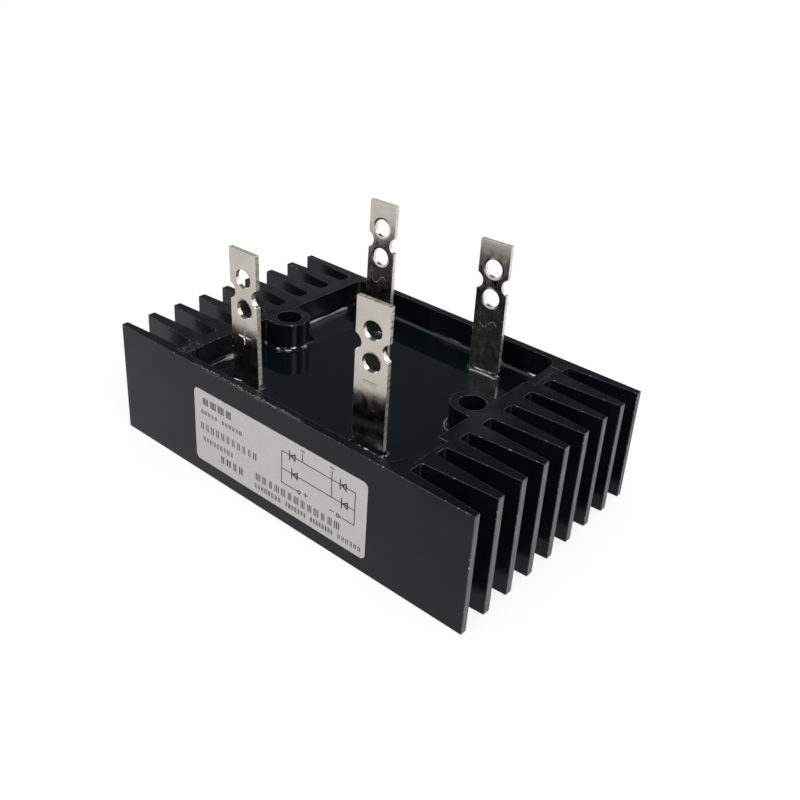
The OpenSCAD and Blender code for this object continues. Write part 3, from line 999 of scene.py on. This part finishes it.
for number, (name, (_, _, sign, sign_drop)) in enumerate(strips.items()):
    place = strip_place(name)
    plain = merged_copy(name)
    plain.transform(place.inverted())
    tip = max(v.co.z for v in plain.vertices)
    cut_sizes = {**punch_sizes, "Upper Hole": tip - hole_drop, "Sign Height": tip - sign_drop * MM,
                 **sign_sizes_of[sign]}
    rounded = bevelled(shown(name + "_rounded", plain), strip_round, sheared.material, angle=35.0)
    strip = grow(name + "_cut", punched[sign], cut_sizes, rounded.data)
    bpy.data.objects.remove(rounded)
    strip.data.materials.append(pierced.material)
    strip.data.materials.append(notch_shade.material)
    slots = [strip.data.materials.find(finish.material.name) for finish in (pierced, sheared, notch_shade)]
    for face in strip.data.polygons:
        centre, normal = face.center, face.normal
        outer = max(abs(centre.x) - blade_w / 2, centre.z - tip) > -rim
        slanting = abs(normal.x * normal.z) > slant_least
        notched = outer and slanting and centre.z < cut_sizes["Tear High"] + past
        if abs(normal.y) < broad_facing:
            face.material_index = slots[outer + notched]
    strip.data.shade_smooth()
    strip.data.set_sharp_from_angle(angle=strip_angle)
    rows = []
    for side in (-1, 1):
        edge = (side * (blade_w / 2 - burr_in_x), -blade_t / 2 + burr_in_y, 0.0)
        rows.append(grow(f"{name}_burrs_{side}", burrs, {
            "Low": burr_start, "High": tip - hole_drop - burr_stop, "Burr Size": 0.05 * MM,
            "Edge": edge, "Seed": 10 * number + side, "Count": 40, "Reach": burr_reach}))
    dressed(joined(name + "_finish", [strip] + rows, place), "plated_strip", name)

# %% [markdown]
# ## Paper label
# A silvery paper label is stuck to the front wall. Its corners are round and its edge is a thin
# step, so it is a sheet of its own with a small bevel. Its print is rows of plain bars and the
# circuit of four diodes that every bridge rectifier has.

# %% The label's sheet
paper = Finish("label_paper", (0.435, 0.425, 0.415), 0.42, Specular_IOR_Level=0.4)
fibre = paper.grain(900.0, 5.0)
paper.tint(fibre, (0.42, 0.41, 0.40), (0.45, 0.44, 0.43))
paper.polish(paper.grain(300.0, 3.0), 0.36, 0.48)
paper.bump(fibre, 0.01 * MM, 0.2)

label_low, label_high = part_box("label")
wall_y = label_high.y
sheet_t = 0.11 * MM
sheet_sizes = {"Width": label_high.x - label_low.x, "Height": label_high.z - label_low.z,
               "Corner": 1.5 * MM, "Thickness": sheet_t}
sheet = Shape("round_cornered_sheet", sheet_sizes)
size = sheet.size
sheet_steps = 12
flat = sheet.rounded(size["Width"], size["Height"], size["Corner"], sheet_steps)
flat = sheet.upright(flat, 0.0, size["Thickness"])
sheet.end(sheet.move(flat, turn=face_front), paper.material)
label = grow("label_finish", sheet, sheet_sizes)
label_centre = (label_low + label_high) / 2
label.data.transform(Matrix.Translation((label_centre.x, wall_y, label_centre.z)))
sheet_round = 0.03 * MM
bevelled(label, sheet_round, paper.material)
softened(label)
dressed(label, "label_paper", "label")

# %% [markdown]
# The print is thin bars that lie on the sheet. A row of bars is a line of points with a few upright
# stems at each, whose widths come from a seed, so no two rows look alike. The four diode signs are
# one shape copied to four points.

# %% Tree for a row of bars
ink = Finish("label_ink", (0.02, 0.02, 0.024), 0.45, Specular_IOR_Level=0.3)
ink.tint(ink.grain(2200.0, 3.0), (0.015, 0.015, 0.018), (0.035, 0.035, 0.038))
ink_t = 0.025 * MM
row_sizes = {"Count": 5, "Start": (0.0, 0.0, 0.0), "Pitch": 1.0 * MM, "Stems": 2, "Stem Width": 0.2 * MM,
             "Stem Height": 1.0 * MM, "Ink": ink_t, "Seed": 1}
bars = Shape("row_of_bars", row_sizes)
size = bars.size
group_share = 0.82
gap = bars.calc("DIVIDE", bars.times(size["Pitch"], group_share), size["Stems"])
first = bars.times(gap, bars.times(bars.minus(size["Stems"], 1.0), -0.5))
stem = bars.box(size["Stem Width"], size["Ink"], size["Stem Height"])
group = bars.copies(bars.row(size["Stems"], bars.vec(first), bars.vec(gap)), stem)
line = bars.row(size["Count"], size["Start"], bars.vec(size["Pitch"]))
share = bars.random((0.65, 1.0, 0.9), (1.05, 1.0, 1.0), size["Seed"])
bars.end(bars.copies(line, group, Scale=share), ink.material)

# %% Rows of bars on the label
ink_y = wall_y - sheet_t - ink_t / 2
# Rows of bars: left end, right end, lower edge and upper edge in millimetres, number of groups, stems
# in each, and a stem's width
rows = [(-26.6, -14.9, 21.6, 23.9, 4, 4, 0.36), (-27.1, -20.6, 18.8, 20.0, 5, 2, 0.26),
        (-19.2, -11.3, 18.8, 20.0, 6, 2, 0.26), (-27.7, -5.8, 13.9, 16.1, 11, 2, 0.34),
        (-26.7, -14.8, 10.4, 12.0, 9, 2, 0.24), (-20.2, -10.9, 6.7, 9.0, 4, 2, 0.50),
        (-6.8, 22.6, 8.1, 10.4, 13, 3, 0.30), (-7.2, 2.6, 5.6, 7.1, 8, 2, 0.25),
        (4.0, 11.4, 5.6, 7.1, 7, 2, 0.25), (12.6, 20.4, 5.6, 7.1, 8, 2, 0.25),
        (21.6, 29.4, 5.6, 7.1, 6, 2, 0.25)]
printed = []
for number, (left, right, low, high, count, stems, stem_w) in enumerate(rows):
    pitch = (right - left) / count * MM
    printed.append(grow(f"row_{number}", bars, {
        **row_sizes, "Count": count, "Pitch": pitch, "Stems": stems, "Stem Width": stem_w * MM,
        "Stem Height": (high - low) * MM, "Seed": number,
        "Start": (left * MM + pitch / 2, ink_y, (low + high) / 2 * MM)}))
print("rows of bars:", len(printed))

# %% Strokes of the circuit on the label
left_bus, right_bus = 2.85, 26.9
upper_line, lower_line, outputs = 21.5, 16.5, 12.3
diode_places = ((6.9, upper_line), (23.5, upper_line), (7.7, lower_line), (24.1, lower_line))
left_lead, right_lead = 9.9, 19.5
plus_x, minus_x = 8.9, 21.7
circle_r = 0.45
line_w = 0.24
wave_z, wave_step, wave_height = 24.7, 0.075, 0.11
# Strokes of the circuit, from one point to another in millimetres
strokes = [
    ((left_bus, outputs), (left_bus, upper_line)), ((right_bus, outputs), (right_bus, upper_line)),
    ((left_bus, upper_line), (right_bus, upper_line)), ((left_bus, lower_line), (right_bus, lower_line)),
    ((left_lead, upper_line), (left_lead, 23.9)), ((right_lead, lower_line), (right_lead, 23.7)),
    ((left_bus, outputs), (plus_x - circle_r, outputs)),
    ((minus_x + circle_r, outputs), (right_bus, outputs)),
]
plus_sign, minus_sign = (plus_x + 2.15, outputs + 0.2), (minus_x - 2.0, outputs + 0.3)
for (x, z), arm_x, arm_z in ((plus_sign, 0.55, 0.0), (plus_sign, 0.0, 0.55), (minus_sign, 0.5, 0.0)):
    strokes.append(((x - arm_x, z - arm_z), (x + arm_x, z + arm_z)))
for centre in (plus_x, minus_x):
    ring = [(centre + circle_r * math.cos(a), outputs + circle_r * math.sin(a))
            for a in np.radians(range(0, 360, 30))]
    strokes += list(zip(ring, ring[1:] + ring[:1]))
for centre in (left_lead, right_lead):
    wave = [(centre + wave_step * k, wave_z - wave_height * math.sin(k * math.pi / 8))
            for k in range(-8, 9)]
    strokes += list(zip(wave, wave[1:]))
print("strokes:", len(strokes))

# %% Draw the strokes
def stroke_mesh(name, strokes, width):
    """Thin bars between pairs of points on the label."""
    made = bmesh.new()
    for a, b in strokes:
        a, b = Vector((a[0] * MM, ink_y, a[1] * MM)), Vector((b[0] * MM, ink_y, b[1] * MM))
        along = b - a
        turned = Matrix.Rotation(-math.atan2(along.z, along.x), 4, "Y")
        size = Matrix.Diagonal((along.length + width, ink_t, width, 1.0))
        bmesh.ops.create_cube(made, size=1.0, matrix=Matrix.Translation((a + b) / 2) @ turned @ size)
    return as_mesh(name, made, ink.material)


printed.append(shown("circuit", stroke_mesh("circuit", strokes, line_w * MM)))
measured(printed[-1])

# %% The four diode signs
sign_sizes = {"Reach": 1.35 * MM, "Bar": 0.36 * MM, "Ink": ink_t}
signs = Shape("diode_signs", sign_sizes)
size = signs.size
back, front = signs.times(size["Ink"], -1.0), signs.times(size["Ink"], 2.0)
triangle = 3
inner = signs.disc(signs.minus(size["Reach"], signs.times(size["Bar"], 2.0)), triangle)
arrow = signs.upright(signs.disc(size["Reach"], triangle), 0.0, size["Ink"])
arrow = signs.cut(arrow, signs.upright(inner, back, front))
arrow = signs.move(arrow, turn=(math.pi / 2, math.pi, 0.0))
post = signs.box(size["Bar"], size["Ink"], signs.times(size["Reach"], 2.2))
post = signs.move(post, signs.vec(signs.times(size["Reach"], -1.0)))
signs.end(signs.copies(size["Geometry"], signs.together(arrow, post)), ink.material)
spots = bpy.data.meshes.new("diode_places")
spots.from_pydata([(x * MM, ink_y, z * MM) for x, z in diode_places], [], [])
printed.append(grow("diodes", signs, sign_sizes, spots))
dressed(joined("label_print", printed, Matrix.Identity(4)), "label_paper")

# %% [markdown]
# ## What the resin hides
# The tiles, plates, dice and jumpers lie below the resin. Their plain meshes are right, so they
# only get finishes: white ceramic, copper that was heated by the solder, and dull grey silicon.

# %% Finishes of the hidden pieces
ceramic = Finish("alumina", (0.86, 0.86, 0.83), 0.55)
speck = ceramic.grain(1600.0, 4.0)
ceramic.tint(speck, (0.82, 0.82, 0.79), (0.90, 0.90, 0.87))
ceramic.bump(speck, 0.01 * MM, 0.3)

copper = Finish("heated_copper", (0.80, 0.42, 0.26), 0.35, Metallic=1.0)
copper.tint(copper.grain(180.0, 4.0), (0.78, 0.40, 0.24), (0.55, 0.24, 0.16))
copper.polish(copper.grain(900.0, 3.0), 0.25, 0.5)

silicon = Finish("dull_silicon", (0.24, 0.25, 0.28), 0.3, Metallic=0.6)
silicon.polish(silicon.grain(1200.0, 3.0), 0.22, 0.42)
silicon.tint(silicon.grain(500.0), (0.20, 0.21, 0.24), (0.30, 0.31, 0.34))

finish_of = {"tile": ceramic, "plate": copper, "jumper": copper, "die": silicon}
for name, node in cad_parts.items():
    words = [word for word in finish_of if word in name]
    if words and not node.hide_render:
        node.data.materials.clear()
        node.data.materials.append(finish_of[words[0]].material)
        print(name, "is", finish_of[words[0]].material.name)

# %% [markdown]
# ## Floor, sky and lamps
# A black glossy thing shows what stands round it more than it shows itself. The floor is white and
# bright in reflections, and so is the sky near the horizon, but it is dark higher up, as in a
# studio where only the table is white. The resin and the rim then stay black, and the strips turn
# silver where they mirror the floor. The camera sees white, and the floor keeps a faint shadow.

# %% The floor
pure_white = (1.0, 1.0, 1.0, 1.0)
reach = 3.0
floor_drop = 0.05 * MM
corners = [(-reach, -reach, 0.0), (reach, -reach, 0.0), (reach, reach, 0.0), (-reach, reach, 0.0)]
floor_mesh = bpy.data.meshes.new("floor")
floor_mesh.from_pydata(corners, [], [(0, 1, 2, 3)])
floor = shown("floor", floor_mesh)
floor.data.transform(Matrix.Translation((0.0, 0.0, -floor_drop)))
floor_material = bpy.data.materials.new("white_floor")
floor_material.use_nodes = True
cloth = Wiring(floor_material.node_tree)
cloth.tree.nodes.clear()
diffuse = cloth.add("ShaderNodeBsdfDiffuse", {"Color": (0.8, 0.8, 0.8, 1.0)})
rays = cloth.tree.nodes.new("ShaderNodeLightPath")
place = cloth.add("ShaderNodeTexCoord", output=3)
away = cloth.add("ShaderNodeVectorMath", {0: place}, operation="LENGTH")
seen_level = cloth.add("ShaderNodeMapRange", {
    "Value": away, "From Min": 0.3, "From Max": 1.0, "To Min": 1.03, "To Max": 1.22})
level = cloth.add("ShaderNodeMix", {"Factor": rays.outputs["Is Glossy Ray"], "A": seen_level, "B": 0.8})
glow = cloth.add("ShaderNodeEmission", {"Color": pure_white, "Strength": level})
seen = cloth.calc("MAXIMUM", rays.outputs["Is Glossy Ray"], rays.outputs["Is Transmission Ray"])
seen = cloth.calc("MAXIMUM", rays.outputs["Is Camera Ray"], seen)
glow_share = 0.75
mix = cloth.add("ShaderNodeMixShader", {0: cloth.times(seen, glow_share), 1: diffuse, 2: glow})
cloth.tree.links.new(mix, cloth.tree.nodes.new("ShaderNodeOutputMaterial").inputs[0])
floor.data.materials.append(floor_material)
print("floor:", 2 * reach, "m wide")

# %% The sky
world = bpy.data.worlds.new("studio")
scene.world = world
world.use_nodes = True
sky = Wiring(world.node_tree)
sky.tree.nodes.clear()
direction = sky.add("ShaderNodeTexCoord")
up = sky.add("ShaderNodeSeparateXYZ", {0: direction}, output=2)
dark_share = sky.add("ShaderNodeMapRange", {
    "Value": up, "From Min": 0.22, "From Max": 0.42, "To Min": 0.0, "To Max": 1.0})
mirror = sky.add("ShaderNodeMix", {"Factor": dark_share, "A": pure_white, "B": (0.080, 0.084, 0.090, 1.0)},
                 data_type="RGBA")
soft = sky.add("ShaderNodeBackground", {"Color": pure_white, "Strength": 0.57})
gloss = sky.add("ShaderNodeBackground", {"Color": mirror, "Strength": 1.0})
white = sky.add("ShaderNodeBackground", {"Color": pure_white, "Strength": 1.0})
rays = sky.tree.nodes.new("ShaderNodeLightPath")
lit = sky.add("ShaderNodeMixShader", {0: rays.outputs["Is Glossy Ray"], 1: soft, 2: gloss})
seen = sky.calc("MAXIMUM", rays.outputs["Is Camera Ray"], rays.outputs["Is Transmission Ray"])
lit = sky.add("ShaderNodeMixShader", {0: seen, 1: lit, 2: white})
sky.tree.links.new(lit, sky.tree.nodes.new("ShaderNodeOutputWorld").inputs[0])
print("sky:", len(sky.tree.nodes), "nodes")


# %% The lamps
def lamp(name, place, size, power):
    """A square soft lamp that points at the middle of the part."""
    light = bpy.data.lights.new(name, "AREA")
    light.size = size
    light.energy = power
    holder = bpy.data.objects.new(name, light)
    holder.location = place
    aim = Vector((0.0, 0.0, height / 2)) - Vector(place)
    holder.rotation_euler = aim.to_track_quat("-Z", "Y").to_euler()
    scene.collection.objects.link(holder)
    print("lamp:", name, power, "W")


lamp("key", (-0.35, -0.55, 0.75), 0.25, 2.0)
lamp("spark", (0.12, -0.20, 0.85), 0.3, 1.8)
lamp("softbox", (-0.25, 0.0, 0.9), 0.7, 0.9)
lamp("fill", (0.75, -0.25, 0.55), 0.4, 4.5)
lamp("back", (0.30, 0.75, 0.75), 0.35, 0.8)
lamp("holes", (0.50, 0.64, 0.55), 0.35, 1.2)
scene.view_settings.view_transform = "Standard"
